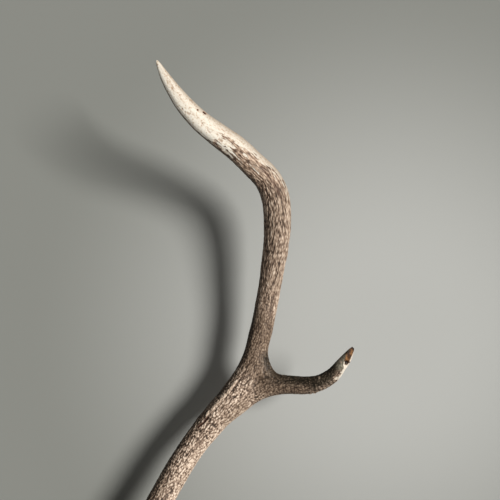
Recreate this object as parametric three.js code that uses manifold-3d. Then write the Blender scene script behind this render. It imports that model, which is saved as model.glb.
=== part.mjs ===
// A single deer antler on a wooden wall shield.
// Millimetres, +Z up, +X to the right as seen from the front. The wall is the plane y = 0, the antler
// stands out from it towards -Y, and the origin is the middle of the shield's back face.
import * as THREE from "three";
import { mergeVertices } from "three/addons/utils/BufferGeometryUtils.js";
import Module from "manifold-3d";

const wasm = await Module();
wasm.setup();

// Clearance kept between neighbouring pieces, and the number of sides of a round hole or screw
const GAP = 0.3;
const ROUND_SIDES = 16;

// Wooden shield
const SHIELD_HALF_WIDTH = 85;
const SHIELD_TOP = 100;
const SHIELD_BOTTOM = -130;
const SHIELD_THICKNESS = 20;
const SHIELD_BEVEL = 8;
const SHIELD_SHOULDER = 64;
const SHIELD_SCOOP = 24;
const SHIELD_WAIST = -20;
const SHIELD_ARCH = 8;

// Keyhole hanger plate, let into the back of the shield
const HANGER_Z = 60;
const HANGER_HALF_WIDTH = 9;
const HANGER_HALF_HEIGHT = 27;
const HANGER_THICKNESS = 1.5;
const HANGER_SINK = 2.2;
const KEYHOLE_RADIUS = 4.5;
const KEYHOLE_DROP = 6;
const KEYHOLE_SLOT_RADIUS = 2.4;
const KEYHOLE_SLOT_RISE = 7;
const POCKET_HALF_WIDTH = 6.8;
const POCKET_HALF_HEIGHT = 15;
const POCKET_DEPTH = 12;
const HANGER_SCREW_OFFSET = 20;
const HANGER_SCREW = { headRadius: 3, headHeight: 1.5, shankRadius: 1.5, length: 11 };

// Screw that holds the antler, and the counterbore for its head
const ANTLER_SCREW = { headRadius: 5.5, headHeight: 4, shankRadius: 2.5, length: 40 };
const ANTLER_SCREW_X = 1;
const ANTLER_SCREW_Z = 15;
const COUNTERBORE_RADIUS = 7;
const COUNTERBORE_DEPTH = 9;

// Main beam: centre line, radius and roughness of the skin, from the cut base through the burr, the
// lower beam, the fork, the bend and on to the polished tip
const MAIN_ROUTE = [
  { at: [0, -12, 12], radius: 15, rough: 0.3 },
  { at: [1, -24, 16], radius: 16, rough: 0.6 },
  { at: [5, -37, 24], radius: 21, rough: 1 },
  { at: [12, -50, 38], radius: 17.5, rough: 1 },
  { at: [30, -64, 70], radius: 16, rough: 1 },
  { at: [51, -67, 104], radius: 15.7, rough: 1 },
  { at: [87, -62, 167], radius: 15.4, rough: 1 },
  { at: [106, -60, 197], radius: 15.4, rough: 1 },
  { at: [125, -57, 222], radius: 16.4, rough: 1 },
  { at: [146, -55, 246], radius: 17.1, rough: 1 },
  { at: [166, -54, 272], radius: 16.9, rough: 1 },
  { at: [181, -55, 303], radius: 14.8, rough: 1 },
  { at: [189, -57, 330], radius: 14.1, rough: 0.9 },
  { at: [199, -63, 379], radius: 13.7, rough: 0.8 },
  { at: [205, -71, 415], radius: 14.2, rough: 0.7 },
  { at: [210, -79, 452], radius: 15.5, rough: 0.7 },
  { at: [210.5, -87, 488], radius: 16.8, rough: 0.7 },
  { at: [206, -94, 511], radius: 16.7, rough: 0.7 },
  { at: [195, -102, 528.5], radius: 16.1, rough: 0.6 },
  { at: [181, -110, 541.5], radius: 15.4, rough: 0.5 },
  { at: [162, -122, 558.5], radius: 14.8, rough: 0.4 },
  { at: [140.5, -135, 573.5], radius: 13.8, rough: 0.2 },
  { at: [121.5, -146, 587.5], radius: 12.2, rough: 0.1 },
  { at: [103, -155, 606], radius: 10.3, rough: 0.1 },
  { at: [89.5, -161, 624], radius: 7.9, rough: 0 },
  { at: [80.5, -164, 638.5], radius: 5.5, rough: 0 },
  { at: [72, -167, 655], radius: 2, rough: 0 },
];
const BURR_STATION = 2;
const FORK_STATION = 12;

// Side tine: leaves the beam below the fork, runs right and forward and turns up to its broken tip
const SIDE_ROUTE = [
  { at: [139, -56, 233], radius: 13.5, rough: 1 },
  { at: [162, -55, 252], radius: 13.6, rough: 1 },
  { at: [190, -57, 269], radius: 13, rough: 1 },
  { at: [217, -62, 276], radius: 12.8, rough: 0.9 },
  { at: [245, -71, 276], radius: 10.8, rough: 0.7 },
  { at: [262, -79, 280], radius: 9.8, rough: 0.6 },
  { at: [277, -87, 290], radius: 8.9, rough: 0.4 },
  { at: [286, -93, 302], radius: 7.6, rough: 0.2 },
  { at: [294, -98, 313], radius: 6.2, rough: 0 },
  { at: [301, -102, 324], radius: 3.4, rough: 0 },
];
const SIDE_CUT_STATION = 4;

// Web that rounds off the crotch between the upper tine and the side tine
const WEB_ROUTE = [
  { at: [188, -57, 322], radius: 11.5, rough: 0.5 },
  { at: [189, -56, 308], radius: 12, rough: 0.7 },
  { at: [196, -56, 289], radius: 12.4, rough: 0.7 },
  { at: [210, -60, 276], radius: 12, rough: 0.7 },
  { at: [229, -66, 276], radius: 11, rough: 0.5 },
];

// Skin of the antler: ridges along its length, with pearls scattered over them
const RING_STEP = 9;
const MAIN_SIDES = 24;
const SIDE_SIDES = 20;
const RIDGE_SIDES = 4;
const RIDGE_HEIGHT = 0.7;
const RIDGE_WANDER = 60;
const PEARL_HEIGHT = 2;
const PEARL_SPARSENESS = 5;

// Burr: a crown of lumps round the foot of the beam
const BURR_LUMPS = 15;
const BURR_LUMP_RADIUS = 5.6;
const BURR_RING_RADIUS = 20;

// Broken tip of the side tine: an oblique face with a pit at its lower end
const BREAK_POINT = [296.5, -99.7, 314.6];
const BREAK_NORMAL = [0.55, -0.79, -0.27];
const BREAK_PIT = [292.3, -100.4, 307.1];
const BREAK_PIT_RADIUS = 2.2;

// Finishes
const ANTLER_BROWN = { color: 0x6e5646, roughness: 0.7, metalness: 0 };
const ANTLER_OLIVE = { color: 0x5b4b3a, roughness: 0.65, metalness: 0 };
const ANTLER_IVORY = { color: 0xb9a58c, roughness: 0.5, metalness: 0 };
const STAINED_WOOD = { color: 0x5a3820, roughness: 0.5, metalness: 0 };
const ZINC_STEEL = { color: 0xa6a6a2, roughness: 0.4, metalness: 1 };

// A closed geometry as a solid that can be joined and cut
function solidOf(geometry) {
  const bare = geometry.clone();
  bare.deleteAttribute("normal");
  bare.deleteAttribute("uv");
  const merged = mergeVertices(bare);
  return new wasm.Manifold(new wasm.Mesh({
    numProp: 3,
    vertProperties: new Float32Array(merged.attributes.position.array),
    triVerts: new Uint32Array(merged.index.array),
  }));
}

// A solid as a geometry again
function geometryOf(solid) {
  const mesh = solid.getMesh();
  const geometry = new THREE.BufferGeometry();
  geometry.setAttribute("position", new THREE.BufferAttribute(mesh.vertProperties, 3));
  geometry.setIndex(new THREE.BufferAttribute(mesh.triVerts, 1));
  geometry.computeVertexNormals();
  return geometry;
}

function piece(name, geometry, finish) {
  const mesh = new THREE.Mesh(geometry, new THREE.MeshStandardMaterial(finish));
  mesh.name = name;
  return mesh;
}

// A number from 0 to 1 that is always the same for the same pair
function scatter(first, second) {
  const value = Math.sin(first * 127.1 + second * 311.7) * 43758.5453;
  return value - Math.floor(value);
}

// An outline in the wall's plane, drawn with x to the right and y up, made solid from the plane
// y = back towards the front
function slab(outline, back, depth, bevel = {}) {
  const geometry = new THREE.ExtrudeGeometry(outline, {
    depth,
    bevelEnabled: false,
    curveSegments: 8,
    ...bevel,
  });
  return geometry.rotateX(Math.PI / 2).translate(0, back, 0);
}

// A round rod along Y from the plane y = back towards the front
function rod(radius, x, back, z, length) {
  const upright = new THREE.CylinderGeometry(radius, radius, length, ROUND_SIDES);
  return upright.translate(x, back - length / 2, z);
}

// An upright outline with round ends
function roundEnded(halfWidth, halfHeight, centreZ) {
  const straight = halfHeight - halfWidth;
  const outline = new THREE.Shape();
  outline.absarc(0, centreZ + straight, halfWidth, 0, Math.PI, false);
  outline.absarc(0, centreZ - straight, halfWidth, Math.PI, 2 * Math.PI, false);
  outline.closePath();
  return outline;
}

// A slotted screw along Y, its head towards the wall and the underside of the head at y = seat
function screw({ headRadius, headHeight, shankRadius, length }, x, seat, z) {
  const pointLength = 2 * shankRadius;
  const headTopRadius = 0.85 * headRadius;
  const slotWidth = 0.25 * headRadius;
  const slotLength = 3 * headRadius;
  const profile = [
    [0, -length],
    [shankRadius, pointLength - length],
    [shankRadius, 0],
    [headRadius, 0],
    [headTopRadius, headHeight],
    [0, headHeight],
  ].map(([across, along]) => new THREE.Vector2(across, along));
  const blank = new THREE.LatheGeometry(profile, ROUND_SIDES);
  const slot = new THREE.BoxGeometry(slotLength, headHeight, slotWidth).translate(0, headHeight, 0);
  return geometryOf(solidOf(blank).subtract(solidOf(slot))).translate(x, seat, z);
}

// Outline of the shield: pointed foot, full flanks, scooped corners and a low arched top
function shieldOutline() {
  const wide = SHIELD_HALF_WIDTH;
  const ear = wide - SHIELD_SCOOP;
  const earTop = SHIELD_TOP - SHIELD_ARCH;
  const archPull = SHIELD_TOP + SHIELD_ARCH;
  const footPull = [0.45 * wide, SHIELD_BOTTOM + 16];
  const flankPull = SHIELD_BOTTOM + 52;
  const outline = new THREE.Shape();
  outline.moveTo(0, SHIELD_BOTTOM);
  outline.bezierCurveTo(footPull[0], footPull[1], wide, flankPull, wide, SHIELD_WAIST);
  outline.lineTo(wide, SHIELD_SHOULDER);
  outline.quadraticCurveTo(ear, SHIELD_SHOULDER, ear, earTop);
  outline.quadraticCurveTo(0, archPull, -ear, earTop);
  outline.quadraticCurveTo(-ear, SHIELD_SHOULDER, -wide, SHIELD_SHOULDER);
  outline.lineTo(-wide, SHIELD_WAIST);
  outline.bezierCurveTo(-wide, flankPull, -footPull[0], footPull[1], 0, SHIELD_BOTTOM);
  return outline;
}

// Depths of the hanger's recess in the shield's back, as y values
const hangerBack = -HANGER_SINK;
const hangerFront = hangerBack - HANGER_THICKNESS;
const mortiseFloor = hangerFront - GAP;
const hangerScrewHeights = [HANGER_Z + HANGER_SCREW_OFFSET, HANGER_Z - HANGER_SCREW_OFFSET];
const antlerScrewSeat = -COUNTERBORE_DEPTH + GAP;

// Everything that is cut out of the shield's back, starting a little behind the back face
function shieldRecesses() {
  const over = 2;
  const mortise = roundEnded(HANGER_HALF_WIDTH + GAP, HANGER_HALF_HEIGHT + GAP, HANGER_Z);
  const pocket = roundEnded(POCKET_HALF_WIDTH, POCKET_HALF_HEIGHT, HANGER_Z);
  const pilot = HANGER_SCREW.shankRadius + GAP;
  const pilotDepth = HANGER_SCREW.length + GAP - hangerBack;
  const screwHole = ANTLER_SCREW.shankRadius + GAP;
  const through = over + 2 * SHIELD_THICKNESS;
  const recesses = [
    slab(mortise, over, over - mortiseFloor),
    slab(pocket, over, over + POCKET_DEPTH),
    rod(COUNTERBORE_RADIUS, ANTLER_SCREW_X, over, ANTLER_SCREW_Z, over + COUNTERBORE_DEPTH),
    rod(screwHole, ANTLER_SCREW_X, over, ANTLER_SCREW_Z, through),
    ...hangerScrewHeights.map((z) => rod(pilot, 0, over, z, over + pilotDepth)),
  ];
  return recesses.map(solidOf);
}

// Shield with a rounded front edge, a flat back and its recesses
function shield() {
  const bevel = {
    bevelEnabled: true,
    bevelThickness: SHIELD_BEVEL,
    bevelSize: SHIELD_BEVEL,
    bevelOffset: -SHIELD_BEVEL,
    bevelSegments: 3,
  };
  const blank = solidOf(slab(shieldOutline(), 0, SHIELD_THICKNESS - SHIELD_BEVEL, bevel));
  const flatBacked = blank.trimByPlane([0, -1, 0], 0);
  const cut = shieldRecesses().reduce((solid, recess) => solid.subtract(recess), flatBacked);
  return geometryOf(cut);
}

// Keyhole: a round entry with a narrower slot running up from it
function keyhole() {
  const entryZ = HANGER_Z - KEYHOLE_DROP;
  const slotTop = HANGER_Z + KEYHOLE_SLOT_RISE;
  const mouth = Math.asin(KEYHOLE_SLOT_RADIUS / KEYHOLE_RADIUS);
  const left = Math.PI / 2 + mouth;
  const right = Math.PI / 2 - mouth + 2 * Math.PI;
  const hole = new THREE.Path();
  hole.absarc(0, entryZ, KEYHOLE_RADIUS, left, right, false);
  hole.absarc(0, slotTop, KEYHOLE_SLOT_RADIUS, 0, Math.PI, false);
  hole.closePath();
  return hole;
}

function hangerPlate() {
  const outline = roundEnded(HANGER_HALF_WIDTH, HANGER_HALF_HEIGHT, HANGER_Z);
  outline.holes.push(keyhole());
  for (const z of hangerScrewHeights) {
    const hole = new THREE.Path();
    hole.absarc(0, z, HANGER_SCREW.shankRadius + GAP, 0, 2 * Math.PI, false);
    outline.holes.push(hole);
  }
  return slab(outline, hangerBack, HANGER_THICKNESS);
}

// Rings along a route, close enough together for its bends, each with its own pair of side directions
function ringsOf(stations) {
  const points = stations.map(({ at }) => new THREE.Vector3(...at));
  const centreLine = new THREE.CatmullRomCurve3(points, false, "centripetal");
  const radii = stations.map(({ radius }, index) => new THREE.Vector2(index, radius));
  const girth = new THREE.SplineCurve(radii);
  const last = stations.length - 1;
  const side = new THREE.Vector3(1, 0, 0);
  const rings = [];
  let along = 0;
  const addRing = (station) => {
    const share = station / last;
    const before = Math.min(Math.floor(station), last - 1);
    const centre = centreLine.getPoint(share);
    const forward = centreLine.getTangent(share);
    side.addScaledVector(forward, -side.dot(forward)).normalize();
    along += rings.length ? centre.distanceTo(rings.at(-1).centre) : 0;
    rings.push({
      station,
      along,
      centre,
      forward,
      side: side.clone(),
      across: new THREE.Vector3().crossVectors(forward, side),
      radius: girth.getPoint(share).y,
      rough: THREE.MathUtils.lerp(stations[before].rough, stations[before + 1].rough, station - before),
    });
  };
  for (let station = 0; station < last; station += 1) {
    const steps = Math.ceil(points[station].distanceTo(points[station + 1]) / RING_STEP);
    for (let step = 0; step < steps; step += 1) {
      addRing(station + step / steps);
    }
  }
  addRing(last);
  return rings;
}

// How far the skin stands above the smooth tube: wandering ridges, and a pearl here and there
function relief(ring, index, corner, sides) {
  const ridges = sides / RIDGE_SIDES;
  const turn = (2 * Math.PI * corner) / sides;
  const ridge = RIDGE_HEIGHT * Math.cos(ridges * turn + Math.sin(ring.along / RIDGE_WANDER));
  const pearl = PEARL_HEIGHT * scatter(index, corner) ** PEARL_SPARSENESS;
  return ring.rough * (ridge + pearl);
}

// Closed tube through a row of rings, with flat ends
function tube(rings, sides) {
  const positions = [];
  const triangles = [];
  rings.forEach((ring, index) => {
    for (let corner = 0; corner < sides; corner += 1) {
      const turn = (2 * Math.PI * corner) / sides;
      const reach = ring.radius + relief(ring, index, corner, sides);
      const point = ring.centre.clone();
      point.addScaledVector(ring.side, reach * Math.cos(turn));
      point.addScaledVector(ring.across, reach * Math.sin(turn));
      positions.push(...point.toArray());
    }
  });
  const firstMiddle = positions.length / 3;
  positions.push(...rings[0].centre.toArray(), ...rings.at(-1).centre.toArray());
  const lastRow = (rings.length - 1) * sides;
  for (let corner = 0; corner < sides; corner += 1) {
    const next = (corner + 1) % sides;
    for (let row = 0; row < lastRow; row += sides) {
      triangles.push(row + corner, row + next, row + sides + next);
      triangles.push(row + corner, row + sides + next, row + sides + corner);
    }
    triangles.push(firstMiddle, next, corner);
    triangles.push(firstMiddle + 1, lastRow + corner, lastRow + next);
  }
  const geometry = new THREE.BufferGeometry();
  geometry.setAttribute("position", new THREE.Float32BufferAttribute(positions, 3));
  geometry.setIndex(triangles);
  return geometry;
}

// The rings up to a station, and those from it on with the first one moved on by the gap
function split(rings, station) {
  const below = rings.filter((ring) => ring.station <= station);
  const above = rings.filter((ring) => ring.station >= station);
  const start = { ...above[0], centre: above[0].centre.clone().addScaledVector(above[0].forward, GAP) };
  return [below, [start, ...above.slice(1)]];
}

// Crown of lumps round the beam's foot, fused to it
function burrLumps(ring) {
  const lumps = [];
  for (let index = 0; index < BURR_LUMPS; index += 1) {
    const turn = (2 * Math.PI * (index + 0.3 * scatter(index, 1))) / BURR_LUMPS;
    const size = BURR_LUMP_RADIUS * (0.85 + 0.3 * scatter(index, 2));
    const centre = ring.centre.clone();
    centre.addScaledVector(ring.side, BURR_RING_RADIUS * Math.cos(turn));
    centre.addScaledVector(ring.across, BURR_RING_RADIUS * Math.sin(turn));
    lumps.push(solidOf(new THREE.SphereGeometry(size, 7, 5).translate(...centre.toArray())));
  }
  return lumps;
}

const [beamRings, upperRings] = split(ringsOf(MAIN_ROUTE), FORK_STATION);
const [sideRootRings, sideRings] = split(ringsOf(SIDE_ROUTE), SIDE_CUT_STATION);

// Beam: foot, burr, lower beam and the whole of the fork
function beam() {
  const joined = [
    solidOf(tube(sideRootRings, SIDE_SIDES)),
    solidOf(tube(ringsOf(WEB_ROUTE), SIDE_SIDES)),
    ...burrLumps(beamRings.find((ring) => ring.station === BURR_STATION)),
  ].reduce((solid, next) => solid.add(next), solidOf(tube(beamRings, MAIN_SIDES)));
  const flatFooted = joined.trimByPlane([0, -1, 0], SHIELD_THICKNESS + GAP);
  const holeLength = ANTLER_SCREW.length + GAP - antlerScrewSeat;
  const hole = rod(ANTLER_SCREW.shankRadius + GAP, ANTLER_SCREW_X, 0, ANTLER_SCREW_Z, holeLength);
  return geometryOf(flatFooted.subtract(solidOf(hole)));
}

function upperTine() {
  return geometryOf(solidOf(tube(upperRings, MAIN_SIDES)));
}

// Side tine with its tip broken off obliquely
function sideTine() {
  const inward = new THREE.Vector3(...BREAK_NORMAL).normalize().negate();
  const offset = inward.dot(new THREE.Vector3(...BREAK_POINT));
  const broken = solidOf(tube(sideRings, SIDE_SIDES)).trimByPlane(inward.toArray(), offset);
  const pit = new THREE.SphereGeometry(BREAK_PIT_RADIUS, 8, 6).translate(...BREAK_PIT);
  return geometryOf(broken.subtract(solidOf(pit)));
}

const antlerScrew = screw(ANTLER_SCREW, ANTLER_SCREW_X, antlerScrewSeat, ANTLER_SCREW_Z);
const antlerMount = new THREE.Group();
antlerMount.add(
  piece("plaque", shield(), STAINED_WOOD),
  piece("beam", beam(), ANTLER_BROWN),
  piece("upper_tine", upperTine(), ANTLER_IVORY),
  piece("side_tine", sideTine(), ANTLER_OLIVE),
  piece("antler_screw", antlerScrew, ZINC_STEEL),
  piece("hanger_plate", hangerPlate(), ZINC_STEEL),
);
["hanger_screw_upper", "hanger_screw_lower"].forEach((name, index) => {
  const hangerScrew = screw(HANGER_SCREW, 0, hangerBack + GAP, hangerScrewHeights[index]);
  antlerMount.add(piece(name, hangerScrew, ZINC_STEEL));
});

export default antlerMount;
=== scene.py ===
"""Antler mount: the antler's grown surface, the wooden shield and the light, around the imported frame."""

import itertools
import math

import bmesh
import bpy
import numpy as np
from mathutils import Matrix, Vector


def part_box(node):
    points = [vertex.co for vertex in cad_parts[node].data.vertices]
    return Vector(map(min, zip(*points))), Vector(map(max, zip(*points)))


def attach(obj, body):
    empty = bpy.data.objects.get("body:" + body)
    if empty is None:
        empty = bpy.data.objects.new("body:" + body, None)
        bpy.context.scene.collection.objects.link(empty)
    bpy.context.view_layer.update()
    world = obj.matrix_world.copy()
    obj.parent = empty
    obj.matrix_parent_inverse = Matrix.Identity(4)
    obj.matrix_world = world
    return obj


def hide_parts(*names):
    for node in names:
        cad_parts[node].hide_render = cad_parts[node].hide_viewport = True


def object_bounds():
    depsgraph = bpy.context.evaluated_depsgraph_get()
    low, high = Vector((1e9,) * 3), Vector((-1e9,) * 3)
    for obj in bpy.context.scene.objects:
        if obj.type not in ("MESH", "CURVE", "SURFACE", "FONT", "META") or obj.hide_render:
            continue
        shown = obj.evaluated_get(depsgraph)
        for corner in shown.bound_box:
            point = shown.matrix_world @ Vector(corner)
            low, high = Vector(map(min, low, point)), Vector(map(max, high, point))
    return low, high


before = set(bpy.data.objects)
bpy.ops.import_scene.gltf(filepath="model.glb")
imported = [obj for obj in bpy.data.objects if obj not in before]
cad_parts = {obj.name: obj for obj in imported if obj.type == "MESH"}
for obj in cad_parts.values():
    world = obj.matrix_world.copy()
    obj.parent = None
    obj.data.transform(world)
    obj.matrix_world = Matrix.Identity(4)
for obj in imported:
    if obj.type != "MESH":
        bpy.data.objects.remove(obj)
cad_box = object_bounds()

# Lengths below are in millimetres, as in the CAD model, and become metres when a mesh is made
MM = 0.001

# Camera: straight on to the wall
CAMERA_AT = (178, -1485, 440)
LENS = 84

# Main beam: x, y, z and radius of the stations along it, from the cut base to the tip
MAIN_ROUTE = [
    (0, -12, 12, 15),
    (1, -24, 16, 16),
    (5, -37, 24, 21),
    (12, -50, 38, 17.5),
    (30, -64, 70, 16),
    (51, -67, 104, 15.7),
    (87, -62, 167, 15.4),
    (106, -60, 197, 15.4),
    (125, -57, 222, 16.4),
    (146, -55, 246, 17.1),
    (166, -54, 272, 16.9),
    (181, -55, 303, 14.8),
    (189, -57, 330, 14.1),
    (199, -63, 379, 13.7),
    (205, -71, 415, 14.2),
    (210, -79, 452, 15.5),
    (210.5, -87, 488, 16.8),
    (206, -94, 511, 16.7),
    (195, -102, 528.5, 16.1),
    (181, -110, 541.5, 15.4),
    (162, -122, 558.5, 14.8),
    (140.5, -135, 573.5, 13.8),
    (121.5, -146, 587.5, 12.2),
    (103, -155, 606, 10.3),
    (89.5, -161, 624, 7.9),
    (80.5, -164, 638.5, 5.5),
    (72, -167, 655, 2),
]
FORK_STATION = 12
BURR_STATION = 2

# Side tine, from inside the beam to its broken tip
SIDE_ROUTE = [
    (139, -56, 233, 13.5),
    (162, -55, 252, 13.6),
    (190, -57, 269, 13),
    (217, -62, 276, 12.8),
    (245, -71, 276, 10.8),
    (262, -79, 280, 9.8),
    (277, -87, 290, 8.9),
    (286, -93, 302, 7.6),
    (294, -98, 313, 6.2),
    (301, -102, 324, 3.4),
]
SIDE_CUT_STATION = 4

# Web that rounds off the crotch between the two tines
WEB_ROUTE = [
    (188, -57, 322, 11.5),
    (189, -56, 308, 12),
    (196, -56, 289, 12.4),
    (210, -60, 276, 12),
    (229, -66, 276, 11),
]

# Burr: a crown of lumps round the foot of the beam
BURR_LUMPS = 15
BURR_LUMP_RADIUS = 5.6
BURR_RING_RADIUS = 20

# CAD nodes of the antler
ANTLER_NODES = ("beam", "upper_tine", "side_tine")

# The beam's foot stands on the shield's front face
FOOT_PLANE = -20.3

# Broken face at the side tine's tip: where it is, the way it faces, how far it reaches, how rough it is
BREAK_POINT = np.array([296.5, -99.7, 314.6])
BREAK_NORMAL = np.array([0.55, -0.79, -0.27])
BREAK_REACH = 30
BREAK_EDGE = (-0.2, 0.25)
BREAK_GRAIN = 2.5
BREAK_ROUGHNESS = 0.5

# Pit in the broken face, and the direction from there to the tip
BREAK_PIT = np.array([293, -99.5, 306.2])
BREAK_AXIS = np.array([0.41, -0.03, 0.91])
PIT_RADII = (1.8, 3.2)
PIT_DEPTH = 2.4

# Colours of the broken face: round end of the amber, pale rim and brown tip
AMBER_END = (3.8, 2.8)
BREAK_RIM = (0.8, 1.0, [(297.2, 307.8), (302.8, 321.4)])
TIP_BROWN = (0.8, 2.2, [(292.6, 316.8), (299.5, 323.2)])

# Antler mesh: size of the coarse skin's faces, which one subdivision halves, and its smoothing
SKIN_STEP = 1.75
TUBE_SIDES = 40
TUBE_ROW_STEP = 2
SMOOTH_ROUNDS = 3
FORK_SMOOTH_ROUNDS = 60
FORK_CENTRE = np.array([195, -56, 290])
FORK_REACH = 55

# Points that are looked up on a route at a time
LOOKUP = 20000


def smooth_step(low, high, value):
    share = np.clip((value - low) / (high - low), 0, 1)
    return share * share * (3 - 2 * share)


def scatter(*parts):
    """Numbers from 0 to 1 that are always the same for the same whole numbers."""
    mixed = sum(part * factor for part, factor in zip(parts, (127.1, 311.7, 74.7, 53.3)))
    value = np.sin(mixed) * 43758.5453
    return value - np.floor(value)


def cloud(points, seed):
    """Smooth noise from 0 to 1, with features about one unit across."""
    cell = np.floor(points)
    part = points - cell
    part = part * part * (3 - 2 * part)
    total = np.zeros(len(points))
    for corner in itertools.product((0, 1), repeat=3):
        weight = np.prod(np.where(corner, part, 1 - part), axis=1)
        total += weight * scatter(*(cell + corner).T, seed)
    return total


def unit(vectors):
    return vectors / np.linalg.norm(vectors, axis=-1, keepdims=True)


def smooth_route(stations, step=1.0):
    """Points and radii about one step apart on a smooth curve through the stations."""
    points = np.array(stations, float)
    padded = np.vstack([2 * points[0] - points[1], points, 2 * points[-1] - points[-2]])
    gaps = np.linalg.norm(np.diff(padded[:, :3], axis=0), axis=1)[:, None] ** 0.5
    slopes = np.diff(padded, axis=0) / gaps
    tangents = slopes[:-1] + slopes[1:] - (padded[2:] - padded[:-2]) / (gaps[:-1] + gaps[1:])
    rows = []
    for index in range(len(points) - 1):
        here, there = points[index], points[index + 1]
        pull = gaps[index + 1]
        count = max(1, round(np.linalg.norm(there[:3] - here[:3]) / step))
        t = np.arange(count)[:, None] / count
        start = (1 + 2 * t) * (1 - t) ** 2 * here + t * (1 - t) ** 2 * pull * tangents[index]
        end = t * t * (3 - 2 * t) * there + t * t * (t - 1) * pull * tangents[index + 1]
        rows.append(start + end)
    return np.vstack([*rows, points[-1:]])


class Route:
    """A smooth route with, at each point, its distance along, its direction, and the two directions
    across it: front, towards the viewer, and right, as the viewer sees it."""

    def __init__(self, stations):
        rows = smooth_route(stations)
        self.centre = rows[:, :3]
        self.radius = rows[:, 3]
        steps = np.linalg.norm(np.diff(self.centre, axis=0), axis=1)
        self.along = np.concatenate([[0], np.cumsum(steps)])
        self.forward = unit(np.gradient(self.centre, axis=0))
        towards = np.array([0.0, -1.0, 0.0])
        across = towards - self.forward * (self.forward @ towards)[:, None]
        self.front = unit(across)
        self.right = np.cross(self.forward, self.front)

    def nearest(self, points):
        """For each point, the index of the nearest place on the route and the distance to it."""
        found = np.zeros(len(points), int)
        apart = np.zeros(len(points))
        for first in range(0, len(points), LOOKUP):
            rows = slice(first, first + LOOKUP)
            part = points[rows]
            square = (part**2).sum(1)[:, None] + (self.centre**2).sum(1) - 2 * part @ self.centre.T
            best = square.argmin(axis=1)
            found[rows] = best
            apart[rows] = np.sqrt(np.maximum(square[np.arange(len(part)), best], 0))
        return found, apart

    def place(self, points):
        """For each point its distance along the route, how far it is to the front and to the right of
        the route, and its distance from it as a share of the radius there."""
        index, apart = self.nearest(points)
        offset = points - self.centre[index]
        axes = (self.forward, self.front, self.right)
        lead, front, right = [(offset * axis[index]).sum(1) for axis in axes]
        return self.along[index] + lead, front, right, apart / self.radius[index]

    def station(self, stations, number):
        """Index of the route point at a station."""
        return int(np.linalg.norm(self.centre - stations[number][:3], axis=1).argmin())


MAIN = Route(MAIN_ROUTE)
SIDE = Route(SIDE_ROUTE)
WEB = Route(WEB_ROUTE)


def new_object(name, data):
    made = bpy.data.objects.new(name, data)
    bpy.context.scene.collection.objects.link(made)
    return made


def mesh_from(name, points, faces):
    """A mesh from points in millimetres."""
    mesh = bpy.data.meshes.new(name)
    mesh.from_pydata((np.asarray(points) * MM).tolist(), [], faces)
    mesh.update()
    return mesh


def evaluated(made):
    """The object's mesh with its modifiers applied; the object itself is removed."""
    graph = bpy.context.evaluated_depsgraph_get()
    mesh = bpy.data.meshes.new_from_object(made.evaluated_get(graph))
    bpy.data.objects.remove(made)
    return mesh


def at_vertices(mesh, key):
    """A direction or place at each of the mesh's points."""
    flat = np.zeros(3 * len(mesh.vertices))
    mesh.vertices.foreach_get(key, flat)
    return flat.reshape(-1, 3)


def coordinates(mesh):
    """The mesh's points in millimetres."""
    return at_vertices(mesh, "co") / MM


def ring_faces(rings, count):
    """Faces of a closed mesh through rings with so many points each."""
    faces = [tuple(reversed(range(count)))]
    for low in range(0, (rings - 1) * count, count):
        for corner in range(count):
            following = (corner + 1) % count
            faces.append((low + corner, low + following, low + count + following, low + count + corner))
    faces.append(tuple(range((rings - 1) * count, rings * count)))
    return faces


def tube(route):
    """Points and faces of a closed tube along a route."""
    turns = 2 * np.pi * np.arange(TUBE_SIDES) / TUBE_SIDES
    last = len(route.centre) - 1
    rows = np.unique([*range(0, last, TUBE_ROW_STEP), last])
    sideways = (
        np.cos(turns)[None, :, None] * route.front[rows][:, None]
        + np.sin(turns)[None, :, None] * route.right[rows][:, None]
    )
    points = route.centre[rows][:, None] + sideways * route.radius[rows][:, None, None]
    turned_over = [(face[0], *face[:0:-1]) for face in ring_faces(len(rows), TUBE_SIDES)]
    return points.reshape(-1, 3), turned_over


def burr_lump(index):
    """Points and faces of one rounded lump of the burr, a little off its place and size."""
    at = MAIN.station(MAIN_ROUTE, BURR_STATION)
    turn = 2 * np.pi * (index + 0.3 * scatter(index, 1)) / BURR_LUMPS
    out = MAIN.front[at] * np.cos(turn) + MAIN.right[at] * np.sin(turn)
    size = BURR_LUMP_RADIUS * (0.85 + 0.3 * scatter(index, 2))
    ball = bmesh.new()
    bmesh.ops.create_icosphere(ball, subdivisions=2, radius=size)
    points = np.array([vertex.co for vertex in ball.verts]) + MAIN.centre[at] + BURR_RING_RADIUS * out
    faces = [tuple(vertex.index for vertex in face.verts) for face in ball.faces]
    ball.free()
    return points, faces


def neighbour_sum(values, first, second):
    """Sum of the values at each point's neighbours."""
    count = len(values)
    return np.bincount(first, values[second], count) + np.bincount(second, values[first], count)


def relaxed(points, edges, weight, rounds):
    """Points drawn halfway to the middle of their neighbours, or less where weight is below 1."""
    first, second = edges.T
    neighbours = np.bincount(edges.ravel(), minlength=len(points))[:, None]
    for _ in range(rounds):
        middle = np.stack([neighbour_sum(values, first, second) for values in points.T], axis=1) / neighbours
        points = points + (weight * 0.5)[:, None] * (middle - points)
    return points


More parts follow.
